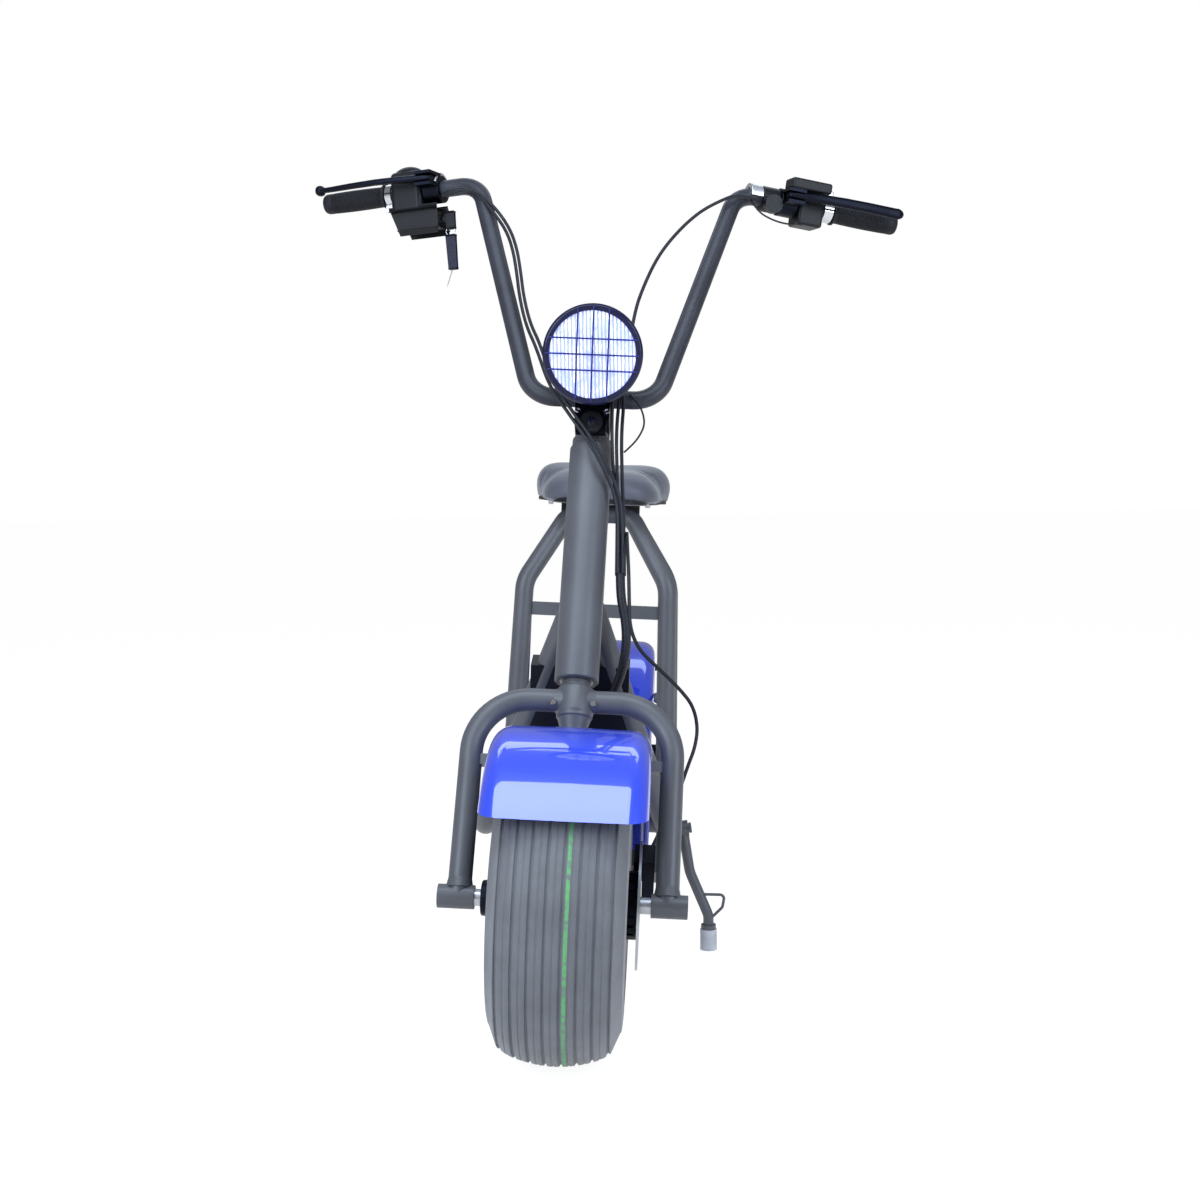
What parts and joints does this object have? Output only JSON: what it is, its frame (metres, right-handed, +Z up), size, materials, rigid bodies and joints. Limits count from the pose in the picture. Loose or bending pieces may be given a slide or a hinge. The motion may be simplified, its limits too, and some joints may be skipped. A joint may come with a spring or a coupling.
{
  "type": "electric scooter",
  "caption": "Fat-tyred electric scooter leaning on its side stand, with high handlebar, guarded round headlamp and tubular frame.",
  "frame": {"origin": "on the ground, under the middle of the parked scooter's box", "axes": "+Y to the scooter's rear, +X to its left, +Z up; it leans 3.04 degrees towards +X on its side stand"},
  "size_m": [1.004, 1.675, 1.3507],
  "materials": {
    "steel_silver": "satin",
    "chrome": "polished",
    "tyre_rubber": "matte",
    "blue_paint": "gloss",
    "charcoal_paint": "satin",
    "foot_rubber": "matte",
    "alloy": "satin",
    "dark_alloy": "satin",
    "black_plastic": "matte",
    "navy_plastic": "gloss",
    "grip_rubber": "matte",
    "lamp_glass": "clear",
    "red_lens": "gloss",
    "saddle_cover": "satin",
    "deck_rubber": "matte",
    "case_paint": "satin",
    "cable_jacket": "satin",
    "tag_plastic": "gloss"
  },
  "bodies": {
    "frame": {"head_tube": "charcoal_paint", "head_rings": "steel_silver", "cradle_tubes": "charcoal_paint", "cross_tubes": "charcoal_paint", "front_hoop": "charcoal_paint", "rear_hoop": "charcoal_paint", "hoop_plate": "charcoal_paint", "saddle_blocks": "black_plastic", "saddle_base": "black_plastic", "saddle": "saddle_cover", "deck_board": "deck_rubber", "battery_case": "case_paint", "dropout_plates": "charcoal_paint", "rear_fender": "blue_paint", "fender_stays": "charcoal_paint", "tail_lamp": "red_lens", "rear_caliper": "dark_alloy", "rear_axle": "steel_silver", "stand_bracket": "charcoal_paint", "controller_case": "case_paint", "wiring_lower": "cable_jacket"},
    "fork": {"fork": "charcoal_paint", "front_axle": "steel_silver", "front_fender": "blue_paint", "front_caliper": "dark_alloy", "stem_cap": "charcoal_paint", "handlebar_clamp": "dark_alloy", "clamp_bolts": "chrome", "clamp_button": "black_plastic", "handlebar": "charcoal_paint", "grips": "grip_rubber", "grip_rings": "chrome", "lever_perches": "dark_alloy", "brake_levers": "dark_alloy", "throttle_housing": "black_plastic", "key_switch": "black_plastic", "key": "black_plastic", "key_fob": "tag_plastic", "switch_box": "black_plastic", "brake_reservoir": "black_plastic", "horn_knob": "black_plastic", "lamp_shell": "navy_plastic", "lamp_lens": "lamp_glass", "lamp_guard": "navy_plastic", "lamp_bracket": "charcoal_paint", "wiring_upper": "cable_jacket", "front_brake_hose": "cable_jacket"},
    "front_wheel": {"front_tyre": "tyre_rubber", "front_rim": "dark_alloy", "front_disc_carrier": "dark_alloy", "front_disc": "steel_silver"},
    "rear_wheel": {"rear_tyre": "tyre_rubber", "rear_rim": "dark_alloy", "hub_motor": "dark_alloy", "rear_disc_carrier": "dark_alloy", "rear_disc": "steel_silver"},
    "side_stand": {"stand_leg": "charcoal_paint", "stand_foot": "foot_rubber"}
  },
  "joints": [
    {"name": "steering", "type": "hinge", "parent": "frame", "child": "fork", "pos_m": [-0.05626, -0.61253, 0.22468], "axis": [0.0473, 0.454, 0.8898], "range_deg": [-35, 35]},
    {"name": "front_wheel_spin", "type": "hinge", "parent": "fork", "child": "front_wheel", "pos_m": [-0.05626, -0.61253, 0.22468], "axis": [0.9986, 0, -0.053], "continuous": true},
    {"name": "rear_wheel_spin", "type": "hinge", "parent": "frame", "child": "rear_wheel", "pos_m": [-0.05626, 0.61247, 0.22468], "axis": [0.9986, 0, -0.053], "continuous": true},
    {"name": "side_stand", "type": "hinge", "parent": "frame", "child": "side_stand", "pos_m": [0.11812, -0.04953, 0.20841], "axis": [0.9904, 0, 0.1385], "range_deg": [0, 85]}
  ]
}
